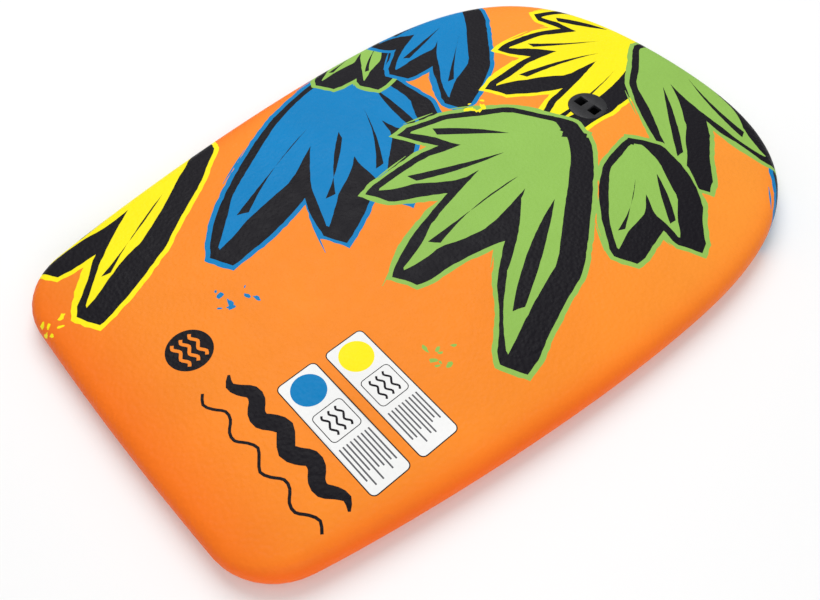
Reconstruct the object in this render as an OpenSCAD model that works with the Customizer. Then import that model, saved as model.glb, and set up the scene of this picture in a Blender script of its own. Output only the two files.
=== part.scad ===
// Child-size bodyboard: a bead-foam core in a printed, grained deck skin that wraps
// round the rails, a slick bottom sheet, and a two-part leash plug sunk in near the nose.
// Millimetres. +X points to the nose, +Z up. The origin is on the ground plane, under
// the middle of the board's length and width.

/* [Board] */
// Length from the tail to the nose
board_l = 660; // [620:5:720]
// Width at the widest point
board_w = 445; // [425:5:480]
// Thickness at the middle of the deck
board_t = 34; // [32:1:42]

/* [Outline] */
// Distance of the widest point from the tail
widest_from_tail = 421; // [400:2:440]
// Width across the tail, over its two round corners
tail_w = 360; // [335:1:366]
// Radius of the two tail corners
corner_r = 60; // [50:1:65]
// How far the middle of the tail edge stands back from its ends
tail_bulge = 2.4; // [1:0.1:5]
// Angle at which the side leaves the tail corner, in degrees from the length
side_angle = 14; // [11:0.5:15]

/* [Section] */
// Fall of the deck from the middle of the board to the rail
crown = 8; // [4:1:10]
// Height of the widest line of the rail above the bottom
apex_h = 12; // [10:1:14]
// Distance that the bottom edge tucks in under the rail
tuck_in = 11; // [8:1:14]
// Distance over which the deck rolls over into the rail
roll_in = 13; // [11:1:16]

/* [Skins] */
// Thickness of the deck skin on the deck
deck_skin_t = 3; // [2.5:0.5:3.5]
// Thickness of the deck skin where it wraps the rail
rail_skin_t = 2.5; // [2:0.5:3]
// Thickness of the bottom sheet
bottom_skin_t = 2; // [2:0.1:2.2]

/* [Leash plug] */
// Distance of the plug from the tail
plug_from_tail = 528; // [500:2:530]
// Depth of the plug, from the top of its flange down
plug_depth = 22; // [18:0.5:24]
// Diameter of the plug's flange
flange_d = 38; // [37:0.5:40]
// Thickness of the flange at its rim
flange_t = 1.8; // [1.6:0.1:1.9]
// Length of each cord hole, along the board
cord_hole_l = 11; // [9:0.5:11]
// Width of each cord hole, across the board
cord_hole_w = 9.5; // [8:0.5:9.5]
// Width of the bar that the leash cord loops round
cord_bar_w = 7.8; // [6:0.2:8]

/* [Hidden] */

// Handles of the two outline curves, as shares of the span that each covers
side_handle_tail = 0.16;
side_handle_wide = 0.40;
nose_handle_wide = 0.73;
nose_handle_tip = 0.71;

// Points on each stretch of the outline
tail_steps = 3;
corner_steps = 7;
side_steps = 9;
nose_steps = 12;

// The deck falls as this power of the way out from the middle to the rail
crown_power = 3;
// Distance from the middle to the rail, on average, that an inset is a share of
mean_reach = 270;
// Squareness of the shoulder between deck and rail, where 2 is a plain ellipse
shoulder_power = 2.4;
// Angles between the levels of the tuck and of the roll, in degrees
tuck_step = 22.5;
roll_step = 15;
// Ways out from the middle, as shares, of the levels that carry the crown
crown_ways = [0.88, 0.78, 0.66, 0.50, 0.30];
// Way out to the edge of the middle patch, which is level
flat_way = 0.10;
slice_t = 0.02;
cut_past = 1;

// The leash plug's fits and wall sizes, and the ridge that its base snaps in with
plug_proud = 0.9;
rim_bevel = 0.8;
seat_clear = 0.25;
barrel_r = 16.3;
barrel_clear = 0.2;
pocket_gap = 0.6;
chamber_r = 14.7;
plate_t = 3;
base_t = 3;
base_clear = 0.15;
ridge_depth = 0.5;
ridge_flat = 0.4;
round_smooth = 96;

// ---- The outline in plan ----

// Point at share t of the way along a cubic curve with four control points
function curve(p, t) = pow(1 - t, 3) * p[0] + 3 * pow(1 - t, 2) * t * p[1]
    + 3 * (1 - t) * pow(t, 2) * p[2] + pow(t, 3) * p[3];

tail_x = -board_l / 2;
nose_x = board_l / 2;
corner_y = tail_w / 2 - corner_r;
tail_slope = atan(2 * tail_bulge / corner_y);
corner_at = [tail_x + tail_bulge + corner_r * cos(tail_slope), corner_y];
side_from = corner_at + corner_r * [-sin(side_angle), cos(side_angle)];
wide_at = [tail_x + widest_from_tail, board_w / 2];
side_span = wide_at[0] - side_from[0];
nose_span = nose_x - wide_at[0];
side_curve = [
    side_from,
    side_from + side_handle_tail * side_span * [cos(side_angle), sin(side_angle)],
    wide_at - [side_handle_wide * side_span, 0],
    wide_at
];
nose_curve = [
    wide_at,
    wide_at + [nose_handle_wide * nose_span, 0],
    [nose_x, nose_handle_tip * board_w / 2],
    [nose_x, 0]
];

// Left half of the outline, from the middle of the tail to the tip of the nose
left_half = concat(
    [for (i = [0 : tail_steps - 1])
        let (y = corner_y * i / tail_steps)
            [tail_x + tail_bulge * pow(y / corner_y, 2), y]],
    [for (i = [0 : corner_steps])
        let (a = 180 - tail_slope - (90 - tail_slope - side_angle) * i / corner_steps)
            corner_at + corner_r * [cos(a), sin(a)]],
    [for (i = [1 : side_steps]) curve(side_curve, i / side_steps)],
    [for (i = [1 : nose_steps]) curve(nose_curve, i / nose_steps)]
);
right_half = [for (i = [len(left_half) - 2 : -1 : 1]) [left_half[i][0], -left_half[i][1]]];

module outline(inset) {
    offset(delta = -inset) polygon(concat(left_half, right_half));
}

// ---- The section ----

// Height of the deck at a share of the way out from the middle to the outline
function crown_z(way) = board_t - crown * pow(way, crown_power);

// The tuck under the rail and the roll over its shoulder, as [inset, height] pairs
tuck = [for (a = [0 : tuck_step : 90 - tuck_step])
    [tuck_in * (1 - sin(a)), apex_h * (1 - cos(a))]];
roll = [for (a = [0 : roll_step : 90])
    let (inset = roll_in * (1 - pow(cos(a), 2 / shoulder_power)),
         drop = (crown_z(1) - apex_h) * (1 - pow(sin(a), 2 / shoulder_power)))
        [inset, crown_z(1 - inset / mean_reach) - drop]];

// The core side of the deck skin: in from the rail by the skin's thickness there, down
// from the deck by its thickness there, and upright where it meets the bottom sheet
under_wrap = tuck_in + rail_skin_t;
inner_tuck = concat(
    [[under_wrap, -cut_past]],
    [for (p = tuck) p + rail_skin_t * [1, 1 - p[1] / apex_h]]);
inner_roll = [for (p = roll)
    p + [rail_skin_t, -deck_skin_t * (p[1] - apex_h) / (roll[len(roll) - 1][1] - apex_h)]];

// Closed form with rails that follow the given [inset, height] pairs all the way round
// the outline, under the crowned deck lowered by depth
module board_form(rail, depth) {
    hull() {
        for (p = rail)
            translate([0, 0, p[1] - slice_t * max(p[1], 0) / board_t])
                linear_extrude(slice_t) outline(p[0]);
        for (way = crown_ways)
            translate([0, 0, crown_z(way) - depth - slice_t])
                linear_extrude(slice_t) scale(way) outline(depth);
        translate([0, 0, board_t - depth - slice_t])
            linear_extrude(slice_t) scale(flat_way) outline(depth);
    }
}

// ---- Levels of the leash plug ----

plug_x = tail_x + plug_from_tail;
plug_top_z = crown_z(plug_x / nose_x) + plug_proud;
seat_z = plug_top_z - flange_t;
plug_low_z = plug_top_z - plug_depth;
flange_r = flange_d / 2;

module at_plug(z) {
    translate([plug_x, 0, z]) children();
}

// Round pocket for the plug's barrel, open to the deck
module barrel_pocket() {
    at_plug(plug_low_z - pocket_gap)
        cylinder(h = board_t, r = barrel_r + barrel_clear, $fn = round_smooth);
}

// Profile points of the snap ridge on a wall of radius r, from its low end up
function ridge(r) =
    let (z = plug_low_z + base_t / 2)
        [[r, z - ridge_flat - ridge_depth],
         [r + ridge_depth, z - ridge_flat],
         [r + ridge_depth, z + ridge_flat],
         [r, z + ridge_flat + ridge_depth]];

function reversed(points) = [for (i = [len(points) - 1 : -1 : 0]) points[i]];

// ---- Pieces ----

// Moulded bead-foam core
module foam_core() {
    color("whitesmoke")
        difference() {
            board_form(concat(inner_tuck, inner_roll), deck_skin_t);
            translate([-board_l, -board_w, bottom_skin_t - board_t])
                cube([2 * board_l, 2 * board_w, board_t]);
            barrel_pocket();
        }
}

// Grained and printed skin, over the deck and round the rails to the bottom
module deck_skin() {
    color("darkorange")
        difference() {
            board_form(concat(tuck, roll), 0);
            board_form(concat(inner_tuck, inner_roll), deck_skin_t);
            barrel_pocket();
            at_plug(seat_z)
                cylinder(h = board_t, r = flange_r + seat_clear, $fn = round_smooth);
        }
}

// Slick sheet under the core, inside the turned edge of the deck skin
module bottom_skin() {
    color("royalblue")
        linear_extrude(bottom_skin_t) outline(under_wrap);
}

// Plug body: flange, plate with two cord holes and the bar between them, and barrel
module leash_plug_body() {
    color("dimgray")
        difference() {
            at_plug(0)
                rotate_extrude($fn = round_smooth)
                    polygon(concat(
                        [[0, plug_top_z],
                         [0, plug_top_z - plate_t],
                         [chamber_r, plug_top_z - plate_t]],
                        reversed(ridge(chamber_r)),
                        [[chamber_r, plug_low_z],
                         [barrel_r, plug_low_z],
                         [barrel_r, seat_z],
                         [flange_r, seat_z],
                         [flange_r, plug_top_z - rim_bevel],
                         [flange_r - 2 * rim_bevel, plug_top_z]]));
            for (side = [-1, 1])
                at_plug(plug_top_z)
                    translate([0, side * (cord_bar_w + cord_hole_w) / 2, 0])
                        cube([cord_hole_l, cord_hole_w, 3 * plate_t], center = true);
        }
}

// Disc that snaps into the barrel and closes the chamber under the bar
module leash_plug_base() {
    base_r = chamber_r - base_clear;
    color("dimgray")
        at_plug(0)
            rotate_extrude($fn = round_smooth)
                polygon(concat(
                    [[0, plug_low_z],
                     [base_r, plug_low_z]],
                    ridge(base_r),
                    [[base_r, plug_low_z + base_t],
                     [0, plug_low_z + base_t]]));
}

foam_core();
deck_skin();
bottom_skin();
leash_plug_body();
leash_plug_base();
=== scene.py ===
"""Looks of the child-size bodyboard: a foam board in a printed, grained deck skin, with a
slick bottom sheet and a leash plug. Sizes are in millimetres until a mesh is made, and
repeat those of the CAD part. +X points to the nose, +Y to the left, +Z up."""

import math

import bpy
import numpy as np
from mathutils import Matrix, Vector
from mathutils.geometry import convex_hull_2d, delaunay_2d_cdt


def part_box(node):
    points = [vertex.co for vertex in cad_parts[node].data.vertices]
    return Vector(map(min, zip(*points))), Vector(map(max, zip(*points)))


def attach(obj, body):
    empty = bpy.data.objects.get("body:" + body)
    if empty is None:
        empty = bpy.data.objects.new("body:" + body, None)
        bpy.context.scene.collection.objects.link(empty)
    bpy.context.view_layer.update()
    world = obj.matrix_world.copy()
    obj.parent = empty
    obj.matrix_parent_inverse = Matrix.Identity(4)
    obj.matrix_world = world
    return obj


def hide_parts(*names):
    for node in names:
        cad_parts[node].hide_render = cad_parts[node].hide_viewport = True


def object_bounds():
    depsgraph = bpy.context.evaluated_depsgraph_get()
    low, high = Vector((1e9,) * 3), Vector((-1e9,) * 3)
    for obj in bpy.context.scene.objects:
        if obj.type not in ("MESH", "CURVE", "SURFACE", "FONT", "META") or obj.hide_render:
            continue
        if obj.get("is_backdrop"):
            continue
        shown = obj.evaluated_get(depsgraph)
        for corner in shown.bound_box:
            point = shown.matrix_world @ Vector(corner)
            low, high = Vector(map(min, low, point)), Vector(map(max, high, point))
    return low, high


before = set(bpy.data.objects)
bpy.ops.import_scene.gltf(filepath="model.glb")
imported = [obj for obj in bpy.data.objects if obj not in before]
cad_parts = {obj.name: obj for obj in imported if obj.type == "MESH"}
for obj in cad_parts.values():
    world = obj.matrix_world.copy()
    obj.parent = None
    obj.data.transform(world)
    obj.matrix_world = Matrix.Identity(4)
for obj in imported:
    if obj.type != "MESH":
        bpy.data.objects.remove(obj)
cad_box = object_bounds()

MM = 0.001

# ---- Driving dimensions, from the frame and from the CAD part ----

board_low, board_high = (np.array(corner) / MM for corner in cad_box)
TAIL_X, NOSE_X = board_low[0], board_high[0]
HALF_W = board_high[1]
BOARD_T = board_high[2]

WIDEST_FROM_TAIL = 421.0
CORNER_R = 60.0
CORNER_Y = 120.0
TAIL_BULGE = 2.4
SIDE_ANGLE = math.radians(14)
SIDE_HANDLES = 0.16, 0.40
NOSE_HANDLES = 0.73, 0.71

CROWN = 8.0
CROWN_POWER = 3
APEX_H = 12.0
TUCK_IN = 11.0
ROLL_IN = 13.0
SHOULDER_POWER = 2.4
LIP_W = 2.5
SKIN_T = 2.2
SHEET_T = 2.0

plug_low, plug_high = (np.array(c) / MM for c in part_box("leash_plug_body"))
PLUG_AT = (plug_low[:2] + plug_high[:2]) / 2
FLANGE_R = (plug_high[0] - plug_low[0]) / 2
SEAT_CLEAR = 0.25
FLANGE_T = 1.8
PLATE_T = 3.0
BARREL_R = 16.3
CHAMBER_R = 14.7
CORD_HOLE_L = 11.0
CORD_HOLE_W = 9.5
CORD_BAR_W = 7.8
HOLE_ROUND = 0.6
SHEET_INSET = 13.6
RIM_ROUND = 0.8
HOLE_CORNER_R = 0.7

# Points round the outline, round a circle of the plug and at each corner of a panel
OUTLINE_POINTS = 230
ROUND_POINTS = 96
PANEL_CORNER = 6
PANEL_POINTS = 4 * PANEL_CORNER


# ---- The outline in plan ----


def cubic(points, t):
    """Points at shares t of the way along a cubic curve with four control points."""
    a, b, c, d = (np.array(p)[None] for p in points)
    t = np.asarray(t)[:, None]
    return (1 - t) ** 3 * a + 3 * (1 - t) ** 2 * t * b + 3 * (1 - t) * t**2 * c + t**3 * d


def half_outline(steps):
    """Left half of the outline, from the middle of the tail to the tip of the nose."""
    slope = math.atan(2 * TAIL_BULGE / CORNER_Y)
    centre = np.array([TAIL_X + TAIL_BULGE + CORNER_R * math.cos(slope), CORNER_Y])
    side_from = centre + CORNER_R * np.array([-math.sin(SIDE_ANGLE), math.cos(SIDE_ANGLE)])
    widest = np.array([TAIL_X + WIDEST_FROM_TAIL, HALF_W])
    side_span = widest[0] - side_from[0]
    nose_span = NOSE_X - widest[0]
    along = np.array([math.cos(SIDE_ANGLE), math.sin(SIDE_ANGLE)])
    tail_y = np.linspace(0, CORNER_Y, steps, endpoint=False)
    tail = np.c_[TAIL_X + TAIL_BULGE * (tail_y / CORNER_Y) ** 2, tail_y]
    turn = np.linspace(math.pi - slope, math.pi / 2 + SIDE_ANGLE, steps, endpoint=False)
    corner = centre + CORNER_R * np.c_[np.cos(turn), np.sin(turn)]
    shares = np.linspace(0, 1, 2 * steps, endpoint=False)
    side = cubic(
        [
            side_from,
            side_from + SIDE_HANDLES[0] * side_span * along,
            widest - [SIDE_HANDLES[1] * side_span, 0],
            widest,
        ],
        shares,
    )
    nose = cubic(
        [
            widest,
            widest + [NOSE_HANDLES[0] * nose_span, 0],
            [NOSE_X, NOSE_HANDLES[1] * HALF_W],
            [NOSE_X, 0],
        ],
        np.linspace(0, 1, 2 * steps + 1),
    )
    return np.vstack([tail, corner, side, nose])


def whole_outline(steps):
    """Closed outline, clockwise from the tail over the left side, the nose and back."""
    left = half_outline(steps)
    return np.vstack([left, left[-2:0:-1] * [1, -1]])


def outward(line):
    """Unit normals of a closed line that runs clockwise."""
    run = np.roll(line, -1, 0) - np.roll(line, 1, 0)
    normal = np.c_[-run[:, 1], run[:, 0]]
    return normal / np.linalg.norm(normal, axis=1)[:, None]


def even_outline(count):
    """Points and normals at even distances round the outline."""
    line = np.vstack([FINE, FINE[:1]])
    normals = np.vstack([FINE_OUT, FINE_OUT[:1]])
    run = np.r_[0, np.cumsum(np.linalg.norm(np.diff(line, axis=0), axis=1))]
    at = np.linspace(0, run[-1], count, endpoint=False)
    points = np.c_[np.interp(at, run, line[:, 0]), np.interp(at, run, line[:, 1])]
    out = np.c_[np.interp(at, run, normals[:, 0]), np.interp(at, run, normals[:, 1])]
    return points, out / np.linalg.norm(out, axis=1)[:, None]


FINE = whole_outline(110)
FINE_OUT = outward(FINE)


# ---- The section, and how the flat print lies on the board ----

# The print is laid out flat. Inside the shoulder line it is the plan of the deck, and
# beyond that line the distance is the run over the rail and down to the bottom edge.


def rail_section():
    """Run from the shoulder, inset from the outline and height at the rail's crown."""
    turn = np.linspace(math.pi / 2, 0, 40)
    power = 2 / SHOULDER_POWER
    roll_h = BOARD_T - CROWN - APEX_H
    roll = np.c_[
        ROLL_IN * (1 - np.cos(turn) ** power),
        APEX_H + roll_h * np.sin(turn) ** power,
    ]
    tuck = np.c_[TUCK_IN * (1 - np.sin(turn)), APEX_H * (1 - np.cos(turn))]
    lip = np.array([[TUCK_IN + LIP_W, 0]])
    line = np.vstack([roll, tuck[1:], lip])
    run = np.r_[0, np.cumsum(np.linalg.norm(np.diff(line, axis=0), axis=1))]
    return run, line[:, 0], line[:, 1], run[len(roll) - 1]


RUN, RUN_INSET, RUN_Z, APEX_RUN = rail_section()
DECK_EDGE_Z = BOARD_T - CROWN
REACH_ANGLES = np.arctan2(FINE[:, 1], FINE[:, 0])
REACH_ORDER = np.argsort(REACH_ANGLES)


def crown_z(points):
    """Height of the deck over plan points, before the roll to the rail."""
    reach = np.interp(
        np.arctan2(points[:, 1], points[:, 0]),
        REACH_ANGLES[REACH_ORDER],
        np.linalg.norm(FINE, axis=1)[REACH_ORDER],
        period=2 * math.pi,
    )
    way = np.minimum(np.linalg.norm(points, axis=1) / reach, 1)
    return BOARD_T - CROWN * way**CROWN_POWER


def over_shoulder(points):
    """How far each flat point lies beyond the shoulder line, with its foot and normal."""
    shoulder = FINE - ROLL_IN * FINE_OUT
    start, step = shoulder, np.roll(shoulder, -1, 0) - shoulder
    turn = np.roll(FINE_OUT, -1, 0) - FINE_OUT
    long2 = (step**2).sum(1)
    beyond = np.full(len(points), -ROLL_IN)
    foot, normal = points.copy(), np.zeros_like(points)
    near = np.flatnonzero(np.linalg.norm(points, axis=1) > 150)
    for some in np.array_split(near, 1 + len(near) // 2000):
        p = points[some]
        k = ((p[:, None] - start[None]) ** 2).sum(2).argmin(1)
        best = np.full(len(p), np.inf)
        for j in (k, (k - 1) % len(start)):
            t = (((p - start[j]) * step[j]).sum(1) / long2[j]).clip(0, 1)
            at = start[j] + t[:, None] * step[j]
            out = FINE_OUT[j] + t[:, None] * turn[j]
            out /= np.linalg.norm(out, axis=1)[:, None]
            gap = np.linalg.norm(p - at, axis=1)
            closer = gap < best
            best = np.where(closer, gap, best)
            side = np.sign(((p - at) * out).sum(1))
            beyond[some] = np.where(closer, side * gap, beyond[some])
            foot[some] = np.where(closer[:, None], at, foot[some])
            normal[some] = np.where(closer[:, None], out, normal[some])
    return beyond, foot, normal


def lift(points):
    """Places points of the flat print on the board."""
    beyond, foot, normal = over_shoulder(points)
    inset = np.interp(beyond, RUN, RUN_INSET)
    plan = np.where(
        (beyond > 0)[:, None], foot + normal * (ROLL_IN - inset)[:, None], points
    )
    level = np.interp(beyond, RUN, RUN_Z)
    z = np.where(beyond <= APEX_RUN, crown_z(plan) - (DECK_EDGE_Z - level), level)
    return np.c_[plan, z]


def lifted_normals(points):
    """Upward or outward normals of the board's skin at points of the flat print."""
    e = 0.2
    along = lift(points + [e, 0]) - lift(points - [e, 0])
    across = lift(points + [0, e]) - lift(points - [0, e])
    normal = np.cross(along, across)
    return normal / np.linalg.norm(normal, axis=1)[:, None]


# ---- Shapes of the print ----


def smooth_path(knots, step):
    """Curve through a few knots of any dimension, with points about a step apart."""
    knots = np.array(knots, float)
    padded = np.vstack([2 * knots[0] - knots[1], knots, 2 * knots[-1] - knots[-2]])
    out = []
    for a, b, c, d in zip(padded, padded[1:], padded[2:], padded[3:]):
        count = max(2, round(np.linalg.norm((c - b)[:2]) / step))
        t = np.linspace(0, 1, count, endpoint=False)[:, None]
        out.append(
            b
            + t * (c - a) / 2
            + t**2 * (a - 2.5 * b + 2 * c - d / 2)
            + t**3 * (1.5 * (b - c) + (d - a) / 2)
        )
    return np.vstack([*out, knots[-1:]])


def sideways(line):
    """Unit normals to the left of an open line."""
    run = np.gradient(line, axis=0)
    normal = np.c_[-run[:, 1], run[:, 0]]
    return normal / np.linalg.norm(normal, axis=1)[:, None]


def brush(knots, step=5.0):
    """Outline of a brush stroke through (x, y, half width) knots."""
    line = smooth_path(knots, step)
    spot, half = line[:, :2], np.maximum(line[:, 2], 0.3)[:, None]
    left = sideways(spot)
    return np.vstack([spot + left * half, (spot - left * half)[::-1]])


def widened(corners, grow):
    """A polygon's corners, anticlockwise, moved out so that each edge moves by grow."""
    edge = np.roll(corners, -1, 0) - corners
    out = np.c_[edge[:, 1], -edge[:, 0]] / np.linalg.norm(edge, axis=1)[:, None]
    before = np.roll(out, 1, 0)
    mitre = (out + before) / (1 + (out * before).sum(1))[:, None].clip(0.2)
    length = np.linalg.norm(mitre, axis=1)[:, None]
    return corners + grow * mitre * np.minimum(1, 2.4 / length)


def softened(corners, passes, cut):
    """A polygon with its corners cut off and cut again, so that they turn round."""
    for _ in range(passes):
        after = np.roll(corners, -1, 0)
        pair = np.stack([corners + cut * (after - corners), after + cut * (corners - after)], 1)
        corners = pair.reshape(-1, 2)
    return corners


def shard(corners, grow=0.0, rough=0.0, seed=0, passes=1, cut=0.09, step=5.0):
    """Outline of a painted shape with slightly bowed, brushed edges."""
    dice = np.random.default_rng(seed)
    moved = widened(softened(np.array(corners, float), passes, cut), grow)
    out = []
    for a, b in zip(moved, np.roll(moved, -1, 0)):
        length = np.linalg.norm(b - a)
        side = np.array([b[1] - a[1], a[0] - b[0]]) / length
        bow = dice.uniform(-0.045, 0.055) * length
        t = np.linspace(0, 1, max(2, round(length / step)), endpoint=False)[:, None]
        ragged = rough * dice.uniform(-1, 1, t.shape) * (t > 0)
        out.append(a + t * (b - a) + side * (4 * bow * t * (1 - t) + ragged))
    return np.vstack(out)


def slash(start, end, width):
    """Thin wedge from a blunt start to a point."""
    run = np.array(end, float) - start
    side = np.array([-run[1], run[0]]) / np.linalg.norm(run) * width / 2
    start = np.array(start, float)
    return np.array([start + side, start + 0.06 * run - side, start + run])


def dry_strokes(corners, grow):
    """Thin strokes that follow the two longest edges of a shape at a small distance."""
    moved = widened(np.array(corners, float), grow)
    edges = sorted(
        zip(moved, np.roll(moved, -1, 0)), key=lambda e: -np.linalg.norm(e[1] - e[0])
    )
    out = []
    for (a, b), first, last in zip(edges, (0.12, 0.45), (0.55, 0.9)):
        share = np.linspace(first, last, 8)[:, None]
        half = 0.9 * np.sin(np.linspace(0.1, math.pi - 0.1, 8))
        out.append(brush(np.c_[a + share * (b - a), half]))
    return out


def panel(centre, size, radius):
    """Rectangle with round corners."""
    half = np.array(size) / 2 - radius
    turn = np.linspace(0, math.pi / 2, PANEL_CORNER)
    out = []
    for k, corner in enumerate(((1, 1), (-1, 1), (-1, -1), (1, -1))):
        angle = turn + k * math.pi / 2
        out.append(half * corner + radius * np.c_[np.cos(angle), np.sin(angle)])
    return np.vstack(out) + centre


def disc(centre, radius, count=40):
    turn = np.linspace(0, 2 * math.pi, count, endpoint=False)
    return np.array(centre) + radius * np.c_[np.cos(turn), np.sin(turn)]


def spatter(centre, reach, count, seed):
    """Small ragged blots round a centre."""
    dice = np.random.default_rng(seed)
    blots = []
    for _ in range(count):
        at = np.array(centre) + dice.normal(0, reach, 2)
        radius = dice.uniform(1.0, 3.4)
        edge = disc((0, 0), 1, 9) * dice.uniform(0.55, 1.25, (9, 1)) * [1.5, 0.8]
        lean = dice.uniform(0, math.pi)
        turned = edge @ [[math.cos(lean), -math.sin(lean)], [math.sin(lean), math.cos(lean)]]
        blots.append(at + radius * turned)
    return blots


# Spatters of small blots: ink, centre, reach, number of blots and seed
SPATTERS = [
    ("blue", (-196, 40), 7, 8, 3),
    ("yellow", (-318, 112), 6, 6, 5),
    ("green", (-104, -112), 7, 8, 8),
    ("yellow", (112, 70), 7, 8, 12),
]

INKS = {
    "orange": (0.90, 0.250, 0.022),
    # Painted shade for the rails and the tail, and painted light for the nose, mixed into the orange
    # ground
    "painted_shade_orange": (0.88, 0.140, 0.008),
    "painted_light_orange": (0.93, 0.310, 0.034),
    "blue": (0.0, 0.205, 0.500),
    "green": (0.275, 0.500, 0.092),
    "yellow": (0.95, 0.82, 0.008),
    "black": (0.006, 0.005, 0.008),
    "white": (0.86, 0.86, 0.85),
    "grey": (0.10, 0.10, 0.11),
}

# Fans of painted blades, like splashes, that spread from a root: the ink, the root, the
# direction of the first and longest blade, the angle to the next one in degrees, the
# length of the first blade, how many there are, and half of a blade's width
FANS = [
    ("yellow", (-112, 222), 212, -15, 222, 4, 16),
    ("blue", (52, 206), 206, 21, 262, 4, 24),
    ("green", (132, 236), 196, 24, 112, 2, 11),
    ("blue", (226, 212), 222, -20, 172, 4, 16),
    ("yellow", (344, 40), 192, -21, 228, 4, 19),
    ("blue", (318, -158), 216, 22, 135, 3, 13),
    ("green", (326, 34), 232, 22, 226, 3, 19),
    ("green", (160, -4), 214, -24, 284, 4, 25),
    ("green", (196, -62), 214, 22, 150, 2, 17),
]
# Corners of a blade, as shares of its length and of its half width
BLADE = [(0.05, -0.25), (0.34, -1.0), (0.74, -0.72), (1.0, 0.0), (0.82, 0.34), (0.62, 0.95),
         (0.26, 0.70), (0.05, 0.25)]
BODY_GROW = 7.0
HALO_GROW = 11.5
SHADOW_SHIFT = np.array([7.0, -14.0])
SHORTER = 0.15


def blades(root, direction, spread, length, count, half, seed):
    """Corners of each blade of a fan, and the slash inside it."""
    dice = np.random.default_rng(seed)
    for n in range(count):
        angle = math.radians(direction + spread * n + dice.uniform(-3, 3))
        along = np.array([math.cos(angle), math.sin(angle)])
        side = np.array([-along[1], along[0]])
        reach = length * (1 - SHORTER * n) * dice.uniform(0.94, 1.03)
        corners = [
            np.array(root) + along * reach * (share + dice.uniform(-0.02, 0.02))
            + side * half * width * dice.uniform(0.85, 1.15)
            for share, width in BLADE
        ]
        start = np.array(root) + along * reach * 0.84
        end = np.array(root) + along * reach * 0.36 + side * half * 0.3
        yield np.array(corners), (start, end, half * 0.34)


def swept(corners):
    """Convex outline, anticlockwise, round a shape and its shadow."""
    both = np.vstack([corners, corners + SHADOW_SHIFT])
    hull = both[convex_hull_2d([tuple(p) for p in both])]
    after = np.roll(hull, -1, 0)
    area = (hull[:, 0] * after[:, 1] - hull[:, 1] * after[:, 0]).sum()
    return hull if area > 0 else hull[::-1]


def fan_layers(ink, root, direction, spread, length, count, half, seed):
    """Layers of one fan: halo, thin outer strokes, black backing, blades and slashes."""
    parts = list(blades(root, direction, spread, length, count, half, seed))
    layers = []
    for n, (corners, _) in enumerate(parts):
        layers += [(ink, line) for line in dry_strokes(corners, HALO_GROW + 2.5)]
    for colour, grow, rough in ((ink, HALO_GROW, 0.6), ("black", BODY_GROW, 0.3)):
        for n, (corners, _) in enumerate(parts):
            layers.append((colour, shard(swept(corners), grow, rough, seed + n)))
    for n, (corners, (start, end, width)) in enumerate(parts):
        layers.append((ink, shard(corners, 0, 0.25, seed + n)))
        layers.append(("black", shard(slash(start, end, width)[::-1], 0, 0.2, seed + n, 0)))
    return layers


def print_layers():
    """Every shape of the print with its ink, from the lowest layer to the topmost."""
    layers = []
    for n, fan in enumerate(FANS):
        layers += fan_layers(*fan, 100 * n)
    for ink, centre, reach, count, seed in SPATTERS:
        layers += [(ink, blot) for blot in spatter(centre, reach, count, seed)]
    layers += label_layers() + wave_mark_layers()
    return layers


LABEL_SIZE = 37.5, 114.5
LABEL_EDGE = 0.9


def waves(centre, count, gap, width, height, half):
    """Rows of a small wave that run across the board."""
    out = []
    for row in range(count):
        y = np.linspace(-width / 2, width / 2, 9)
        x = centre[0] + (row - (count - 1) / 2) * gap + height * np.sin(y / width * 4 * math.pi)
        out.append(brush(np.c_[x, centre[1] + y, np.full(9, half)], step=2.5))
    return out


def label_layers():
    """Two white care panels with plain marks and ruled lines instead of words."""
    layers = []
    for centre, ink, seed in (((-203, -112.7), "blue", 1), ((-157.3, -113.6), "yellow", 2)):
        cx, cy = centre
        layers.append(("black", panel(centre, LABEL_SIZE, 5)))
        inner = np.array(LABEL_SIZE) - 2 * LABEL_EDGE
        layers.append(("white", panel(centre, inner, 5 - LABEL_EDGE)))
        layers.append((ink, disc((cx, cy + 39.5), 14)))
        layers.append(("black", panel((cx, cy + 6), (28, 28), 4)))
        layers.append(("white", panel((cx, cy + 6), (26.6, 26.6), 3.3)))
        layers += [("black", w) for w in waves((cx, cy + 6), 3, 6.5, 20, 1.5, 0.9)]
        dice = np.random.default_rng(seed)
        for row in range(9):
            x = cx - 13.6 + 3.4 * row
            length = dice.uniform(24, 38)
            layers.append(("grey", panel((x, cy - 13.5 - length / 2), (1.3, length), 0.4)))
    return layers


def wave_mark_layers():
    """Plain wave marks across the tail: a round badge, a bold band and a thin line."""
    badge = np.array([-250.0, 17.0])
    layers = [("black", disc(badge, 19, 56))]
    layers += [("orange", w) for w in waves(badge, 3, 8, 25, 1.8, 1.4)]
    y = np.linspace(-22, -166, 19)
    swing = np.sin((y + 22) / 36 * 2 * math.pi)
    bold = np.c_[-240 + 5 * swing, y, 6.8 - 5.8 * np.linspace(-1, 1, 19) ** 4]
    thin = np.c_[-264 + 5 * swing, y, np.full(19, 1.2)]
    layers.append(("black", brush(bold, step=4)))
    layers.append(("black", brush(thin, step=4)))
    return layers


# ---- Flat triangulations ----


def inside(points, polygon):
    """Which points a closed polygon winds round."""
    turns = np.zeros(len(points), int)
    x, y = points[:, 0], points[:, 1]
    for a, b in zip(polygon, np.roll(polygon, -1, 0)):
        left = (b[0] - a[0]) * (y - a[1]) - (x - a[0]) * (b[1] - a[1])
        turns += (a[1] <= y) & (b[1] > y) & (left > 0)
        turns -= (a[1] > y) & (b[1] <= y) & (left < 0)
    return turns != 0


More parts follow.
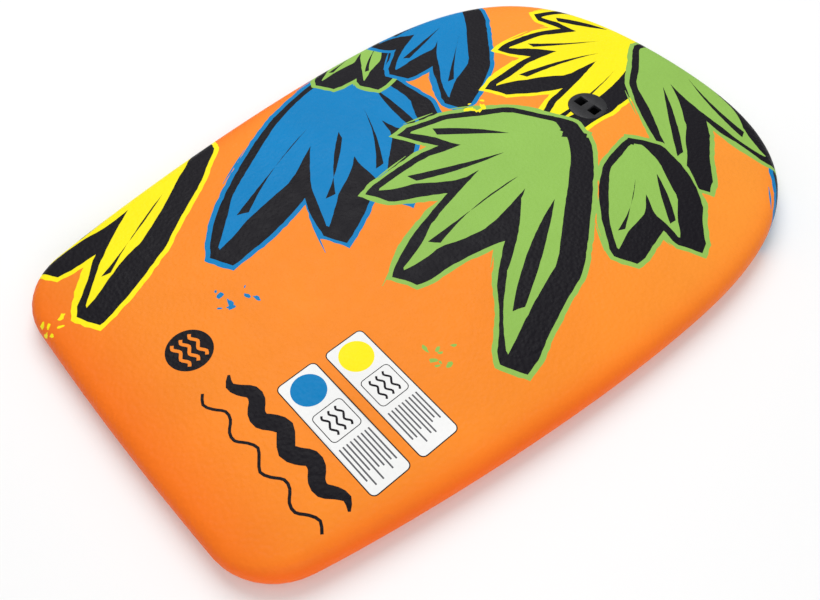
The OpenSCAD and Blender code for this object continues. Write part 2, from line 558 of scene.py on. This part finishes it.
class Flat:
    """Points and lines to triangulate in plan."""

    def __init__(self):
        self.points, self.edges, self.count = [], [], 0

    def add(self, points, edges=()):
        self.points.append(np.asarray(points, float))
        self.edges += [(a + self.count, b + self.count) for a, b in edges]
        self.count += len(points)

    def loop(self, points, keep=None):
        ends = [(i, (i + 1) % len(points)) for i in range(len(points))]
        self.add(points, [e for i, e in enumerate(ends) if keep is None or keep[i]])

    def grid(self, spacing, keep):
        rows = np.arange(-HALF_W, HALF_W, spacing * math.sqrt(3) / 2)
        across = np.arange(TAIL_X, NOSE_X, spacing)
        spots = np.array([(x + spacing / 2 * (k % 2), y) for k, y in enumerate(rows) for x in across])
        self.add(spots[keep(spots)])

    def triangles(self):
        """Points and triangles, which turn anticlockwise."""
        spots = [Vector(p) for p in np.vstack(self.points)]
        out = delaunay_2d_cdt(spots, self.edges, [], 0, 1e-4, False)
        points = np.array([tuple(p) for p in out[0]])
        tris = np.array([tuple(f) for f in out[2]])
        a, b, c = (points[tris[:, k]] for k in range(3))
        area = (b[:, 0] - a[:, 0]) * (c[:, 1] - a[:, 1]) - (b[:, 1] - a[:, 1]) * (c[:, 0] - a[:, 0])
        tris[area < 0] = tris[area < 0][:, ::-1]
        return points, tris[np.abs(area) > 1e-5]


def shown_edges(layers):
    """For each layer, which of its edges aren't painted over by one later layer."""
    everything = [outline for _, outline in layers]
    for n, outline in enumerate(everything):
        low, high = outline.min(0), outline.max(0)
        keep = np.ones(len(outline), bool)
        for later in everything[n + 1 :]:
            if (later.max(0) < low).any() or (later.min(0) > high).any():
                continue
            hidden = inside(outline, later)
            keep &= ~(hidden & np.roll(hidden, -1))
        yield outline, keep


# ---- Meshes ----


def make_piece(name, points, faces, material, normals=None, inks=None):
    """A smooth mesh object from points in millimetres, which rides on the board."""
    mesh = bpy.data.meshes.new(name)
    mesh.from_pydata((np.asarray(points) * MM).tolist(), [], [list(map(int, f)) for f in faces])
    mesh.shade_smooth()
    if inks is not None:
        layer = mesh.color_attributes.new("ink", "FLOAT_COLOR", "CORNER")
        layer.data.foreach_set("color", np.asarray(inks, np.float32).ravel())
    if normals is not None:
        mesh.normals_split_custom_set(np.asarray(normals).tolist())
    mesh.materials.append(material)
    piece = bpy.data.objects.new(name, mesh)
    bpy.context.scene.collection.objects.link(piece)
    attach(piece, "root")
    return piece


def open_edges(tris):
    """Edges that belong to one triangle, in that triangle's direction."""
    edges = np.vstack([tris[:, [0, 1]], tris[:, [1, 2]], tris[:, [2, 0]]])
    seen = {tuple(e) for e in edges}
    return np.array([e for e in edges if (e[1], e[0]) not in seen])


def ink_of(points, tris, layers):
    """The ink of each triangle's corners: the topmost layer over it, or the orange ground with its
    painted shade and light.
    """
    centres = points[tris].mean(1)
    top = np.full(len(tris), -1)
    for n, (_, outline) in enumerate(layers):
        box = ((centres > outline.min(0)) & (centres < outline.max(0))).all(1)
        some = np.flatnonzero(box)
        top[some[inside(centres[some], outline)]] = n
    spots = points[tris].reshape(-1, 2)
    beyond = over_shoulder(spots)[0]
    # Painted shade and light on the orange ground: it turns deeper over the rails and at the tail,
    # where shade falls, and paler to the nose, where the light is brighter
    rail_shade_share = ((beyond + 16) / 30).clip(0, 1) ** 2
    tail_shade_share = ((-250 - spots[:, 0]) / 90).clip(0, 1) ** 1.5
    nose_light_share = ((spots[:, 0] + 60) / 380).clip(0, 1)[:, None]
    painted_shade_share = np.maximum(rail_shade_share * (1 - 0.6 * nose_light_share[:, 0]), tail_shade_share)[:, None]
    ground = np.array(INKS["orange"]) * (1 - nose_light_share) + np.array(INKS["painted_light_orange"]) * nose_light_share
    colours = ground * (1 - painted_shade_share) + np.array(INKS["painted_shade_orange"]) * painted_shade_share
    inked = np.repeat(top, 3)
    for n, (ink, _) in enumerate(layers):
        # Orange marks keep the ground's own colour, with its painted shade and light
        if ink != "orange":
            colours[inked == n] = INKS[ink]
    return np.c_[colours, np.ones(len(colours))]


def deck_skin(material):
    """The printed skin over the deck and round the rails, with its inner face."""
    layers = print_layers()
    edge, out = even_outline(OUTLINE_POINTS)
    shoulder = edge - ROLL_IN * out
    flat = Flat()
    last_run = RUN[-1]
    boundary = shoulder + last_run * out
    for run in (*np.linspace(0, APEX_RUN, 10), *np.linspace(APEX_RUN, last_run, 9)[1:]):
        flat.loop(shoulder + run * out)
    flat.loop(shoulder - 7 * out)
    seat = disc(PLUG_AT, FLANGE_R + SEAT_CLEAR, ROUND_POINTS)
    flat.loop(seat)
    for outline, keep in shown_edges(layers):
        flat.loop(outline, keep)
    flat.grid(10, lambda p: inside(p, shoulder - 12 * out))
    points, tris = flat.triangles()
    centres = points[tris].mean(1)
    tris = tris[inside(centres, boundary) & ~inside(centres, seat)]
    used, tris = np.unique(tris, return_inverse=True)
    points, tris = points[used], tris.reshape(-1, 3)
    outer, normals = lift(points), lifted_normals(points)
    turned_up = (over_shoulder(points)[0] > APEX_RUN) & (normals[:, 2] > 0)
    normals[turned_up] = [0, 0, -1]
    inner = outer - SKIN_T * normals
    rim = open_edges(tris)
    count = len(points)
    walls = np.c_[rim[:, 1], rim[:, 0], rim[:, 0] + count, rim[:, 1] + count]
    faces = [*tris, *(tris[:, ::-1] + count), *walls]
    spots = np.vstack([outer, inner])
    wall_normals = np.cross(
        spots[walls[:, 1]] - spots[walls[:, 0]], spots[walls[:, 3]] - spots[walls[:, 0]]
    )
    wall_normals /= np.linalg.norm(wall_normals, axis=1)[:, None]
    corner_normals = np.vstack([
        normals[tris].reshape(-1, 3),
        -normals[tris[:, ::-1]].reshape(-1, 3),
        np.repeat(wall_normals, 4, axis=0),
    ])
    inks = ink_of(points, tris, layers)
    bare = np.tile((*INKS["white"], 1), (3 * len(tris) + 4 * len(walls), 1))
    piece = make_piece(
        "printed_deck_skin", spots, faces, material, corner_normals, np.vstack([inks, bare])
    )
    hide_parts("deck_skin")
    return piece


def bands(rows, start):
    """Quads between closed rows of equally many points, numbered from start."""
    faces = []
    for row in range(rows[0] - 1):
        for k in range(rows[1]):
            after = (k + 1) % rows[1]
            a, b = start + row * rows[1], start + (row + 1) * rows[1]
            faces.append((a + k, a + after, b + after, b + k))
    return faces


def plug_body(material):
    """Leash plug body with a rounded flange and rounded edges on its two cord holes."""
    top, low = plug_high[2], plug_low[2]
    seat, plate = top - FLANGE_T, top - PLATE_T
    turns = np.linspace(0, math.pi / 2, 5)
    rim = [
        (FLANGE_R - RIM_ROUND * (1 - math.sin(a)), top - RIM_ROUND * (1 - math.cos(a)))
        for a in turns
    ]
    wall = [
        *rim,
        (FLANGE_R, seat),
        (BARREL_R, seat),
        (BARREL_R, low),
        (CHAMBER_R, low),
        (CHAMBER_R, plate),
    ]
    points, faces = [], []
    count = ROUND_POINTS
    for radius, z in wall:
        points += [(x, y, z) for x, y in disc(PLUG_AT, radius, count)]
    faces += [f[::-1] for f in bands((len(wall), count), 0)]
    hole_rows = []
    for side in (-1, 1):
        centre = PLUG_AT + [0, side * (CORD_BAR_W + CORD_HOLE_W) / 2]
        start = len(points)
        for a in turns:
            grow = HOLE_ROUND * (1 - math.sin(a))
            size = np.array([CORD_HOLE_L, CORD_HOLE_W]) + 2 * grow
            loop = panel(centre, size, HOLE_CORNER_R + grow)
            points += [(x, y, top - HOLE_ROUND * (1 - math.cos(a))) for x, y in loop]
        points += [(x, y, plate) for x, y in loop]
        faces += bands((len(turns) + 1, PANEL_POINTS), start)
        hole_rows.append((start, start + len(turns) * PANEL_POINTS))
    for level, first_row, holes in (
        (top, 0, [r[0] for r in hole_rows]),
        (plate, (len(wall) - 1) * count, [r[1] for r in hole_rows]),
    ):
        flat = Flat()
        rings = [np.arange(first_row, first_row + count)]
        rings += [np.arange(h, h + PANEL_POINTS) for h in holes]
        for ring in rings:
            flat.loop([points[i][:2] for i in ring])
        spots, tris = flat.triangles()
        centres = spots[tris].mean(1)
        keep = inside(centres, spots[:count])
        for k in range(2):
            first = count + PANEL_POINTS * k
            keep &= ~inside(centres, spots[first : first + PANEL_POINTS])
        number = np.concatenate(rings)
        turned = number[tris[keep]]
        faces += [tuple(t) for t in (turned if level == top else turned[:, ::-1])]
    piece = make_piece("leash_plug_top", points, faces, material)
    piece.data.set_sharp_from_angle(angle=math.radians(35))
    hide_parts("leash_plug_body")
    return piece


def bottom_sheet(material):
    """Slick sheet inside the turned edge of the deck skin, with a rounded edge."""
    edge, out = even_outline(OUTLINE_POINTS)
    rows = [
        (SHEET_INSET + 0.4, SHEET_T),
        (SHEET_INSET, SHEET_T),
        (SHEET_INSET, 0.5),
        (SHEET_INSET + 0.15, 0.15),
        (SHEET_INSET + 0.5, 0.0),
    ]
    points = []
    for inset, z in rows:
        points += [(x, y, z) for x, y in edge - inset * out]
    count = len(edge)
    faces = bands((len(rows), count), 0)
    first, last = range(count), range((len(rows) - 1) * count, len(rows) * count)
    faces += [tuple(first)[::-1], tuple(last)]
    piece = make_piece("slick_bottom_sheet", points, faces, material)
    piece.data.set_sharp_from_angle(angle=math.radians(50))
    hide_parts("bottom_skin")
    return piece


# ---- Materials ----


class Nodes:
    """Short calls to build a node tree."""

    def __init__(self, name):
        self.material = bpy.data.materials.new(name)
        self.material.use_nodes = True
        self.tree = self.material.node_tree
        self.shader = self.tree.nodes["Principled BSDF"]

    def set(self, node, inputs):
        for name, value in inputs.items():
            socket = node.inputs[name]
            if isinstance(value, bpy.types.NodeSocket):
                self.tree.links.new(value, socket)
            else:
                socket.default_value = value

    def add(self, kind, output=0, settings=None, **inputs):
        node = self.tree.nodes.new(kind)
        for name, value in (settings or {}).items():
            setattr(node, name, value)
        self.set(node, {(int(k[1:]) if k[0] == "_" else k): v for k, v in inputs.items()})
        return node.outputs[output]

    def place(self):
        return self.add("ShaderNodeTexCoord", "Object")

    def noise(self, cell_mm, detail=2.0, roughness=0.5):
        """Noise with features about this many millimetres wide."""
        return self.add(
            "ShaderNodeTexNoise",
            "Fac",
            Vector=self.place(),
            Scale=1 / (cell_mm * MM),
            Detail=detail,
            Roughness=roughness,
        )

    def cells(self, cell_mm, feature="SMOOTH_F1"):
        return self.add(
            "ShaderNodeTexVoronoi",
            "Distance",
            {"feature": feature},
            Vector=self.place(),
            Scale=1 / (cell_mm * MM),
        )

    def spread(self, value, low, high, start=0.3, end=0.7):
        """Maps a pattern's usual range onto low to high."""
        names = {"From Min": start, "From Max": end, "To Min": low, "To Max": high}
        node = self.tree.nodes.new("ShaderNodeMapRange")
        self.set(node, {"Value": value, **names})
        return node.outputs[0]

    def sum(self, a, b, share):
        """a plus a share of b."""
        return self.add("ShaderNodeMath", settings={"operation": "MULTIPLY_ADD"}, _0=b, _1=share, _2=a)

    def tint(self, colour, value):
        """A colour made lighter or darker by a pattern round 1."""
        node = self.tree.nodes.new("ShaderNodeHueSaturation")
        self.set(node, {"Color": colour, "Value": value})
        return node.outputs[0]

    def bump(self, height, depth_mm, strength=1.0):
        node = self.tree.nodes.new("ShaderNodeBump")
        self.set(node, {"Height": height, "Distance": depth_mm * MM, "Strength": strength})
        return node.outputs[0]

    def finish(self, **inputs):
        self.set(self.shader, {k.replace("_", " "): v for k, v in inputs.items()})
        return self.material


def printed_skin_material():
    """Satin laminated film with a fine pebble grain, painted shade in its grooves, and the print's
    inks.
    """
    n = Nodes("printed_skin")
    ink = n.add("ShaderNodeAttribute", "Color", {"attribute_name": "ink"})
    pebbles = n.cells(3.2)
    fine = n.noise(0.9, 3)
    height = n.sum(pebbles, fine, 0.25)
    # Random mottle of the inks, plus painted shade: the grooves between the pebbles a little darker
    mottle_and_groove_shade = n.sum(n.noise(60, 3), pebbles, -0.18)
    return n.finish(
        Base_Color=n.tint(ink, n.spread(mottle_and_groove_shade, 0.96, 1.04, 0.2, 0.7)),
        Roughness=n.spread(n.noise(12, 3), 0.40, 0.52),
        Specular_IOR_Level=0.09,
        Normal=n.bump(height, -0.5),
    )


def slick_sheet_material():
    """Smooth coloured sheet with faint dents of the foam beads and fine scuffs."""
    n = Nodes("slick_sheet")
    base = n.add("ShaderNodeRGB")
    base.node.outputs[0].default_value = (0.006, 0.17, 0.48, 1)
    return n.finish(
        Base_Color=n.tint(base, n.spread(n.noise(45, 4), 0.92, 1.06)),
        Roughness=n.spread(n.noise(7, 5), 0.20, 0.34),
        Normal=n.bump(n.sum(n.cells(4.5), n.noise(14), 1.5), 0.08),
    )


def bead_foam_material():
    """Moulded bead foam: packed beads with fine grooves between them, painted darker as shade."""
    n = Nodes("bead_foam")
    beads = n.cells(4.2, "DISTANCE_TO_EDGE")
    base = n.add("ShaderNodeRGB")
    base.node.outputs[0].default_value = (0.86, 0.86, 0.84, 1)
    return n.finish(
        # Painted shade: the colour darkens towards the grooves between the beads
        Base_Color=n.tint(base, n.spread(beads, 0.9, 1.0, 0.0, 0.2)),
        Roughness=n.spread(n.noise(3), 0.6, 0.75),
        Normal=n.bump(n.spread(beads, 0, 1, 0.0, 0.25), 0.35),
    )


def plug_material():
    """Moulded dark plastic with a light spark-eroded grain."""
    n = Nodes("plug_plastic")
    base = n.add("ShaderNodeRGB")
    base.node.outputs[0].default_value = (0.016, 0.016, 0.018, 1)
    return n.finish(
        Base_Color=n.tint(base, n.spread(n.noise(6, 4), 0.85, 1.2)),
        Roughness=n.spread(n.noise(2.5, 4), 0.30, 0.44),
        Specular_IOR_Level=0.22,
        Normal=n.bump(n.noise(0.5, 4), 0.03),
    )


# ---- Stage ----


def studio():
    """Pale floor, a white world and soft lights."""
    size = 6.0
    mesh = bpy.data.meshes.new("floor")
    mesh.from_pydata(
        [(-size, -size, 0), (size, -size, 0), (size, size, 0), (-size, size, 0)],
        [],
        [(0, 1, 2, 3)],
    )
    floor = bpy.data.objects.new("floor", mesh)
    floor.location.z = -0.0004
    bpy.context.scene.collection.objects.link(floor)
    n = Nodes("floor")
    mesh.materials.append(n.finish(Base_Color=(0.92, 0.92, 0.92, 1), Roughness=0.7))
    floor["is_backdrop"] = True

    world = bpy.data.worlds.new("studio")
    world.use_nodes = True
    background = world.node_tree.nodes["Background"]
    background.inputs["Color"].default_value = (1, 1, 1, 1)
    background.inputs["Strength"].default_value = 0.5
    bpy.context.scene.world = world
    for name, place, width, watts in (
        ("key", (0.5, 0.9, 1.7), 1.6, 26),
        ("fill", (-0.9, -1.5, 0.9), 1.6, 13),
    ):
        light = bpy.data.lights.new(name, "AREA")
        light.shape = "DISK"
        light.size = width
        light.energy = watts
        lamp = bpy.data.objects.new(name, light)
        lamp.location = place
        lamp.rotation_euler = (-Vector(place)).to_track_quat("-Z", "Y").to_euler()
        bpy.context.scene.collection.objects.link(lamp)
    bpy.context.scene.view_settings.view_transform = "Standard"


CAMERA_AZIMUTH, CAMERA_ELEVATION, CAMERA_ROLL = (math.radians(a) for a in (-42.86, 53.67, -1.28))
CAMERA_DISTANCE = 0.7233
CAMERA_AIM = Vector((-0.0738, -0.0435, 0))
CAMERA_LENS = 37.0


def add_camera():
    az, el, roll = CAMERA_AZIMUTH, CAMERA_ELEVATION, CAMERA_ROLL
    back = Vector((math.sin(az) * math.cos(el), -math.cos(az) * math.cos(el), math.sin(el)))
    right = Vector((0, 0, 1)).cross(back).normalized()
    up = back.cross(right)
    turned_right = math.cos(roll) * right - math.sin(roll) * up
    turned_up = math.sin(roll) * right + math.cos(roll) * up
    data = bpy.data.cameras.new("camera")
    data.lens = CAMERA_LENS
    camera = bpy.data.objects.new("camera", data)
    axes = Matrix((turned_right, turned_up, back)).transposed().to_4x4()
    camera.matrix_world = Matrix.Translation(CAMERA_AIM + CAMERA_DISTANCE * back) @ axes
    bpy.context.scene.collection.objects.link(camera)
    bpy.context.scene.camera = camera


def dress(node, material):
    """Gives a CAD node that stays its material."""
    mesh_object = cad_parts[node]
    mesh_object.data.materials.clear()
    mesh_object.data.materials.append(material)


studio()
add_camera()
deck_skin(printed_skin_material())
plug_plastic = plug_material()
plug_body(plug_plastic)
bottom_sheet(slick_sheet_material())
dress("foam_core", bead_foam_material())
dress("leash_plug_base", plug_plastic)

boxes = {"cad": cad_box, "visual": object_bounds()}
{name: [list(corner) for corner in box] for name, box in boxes.items()}
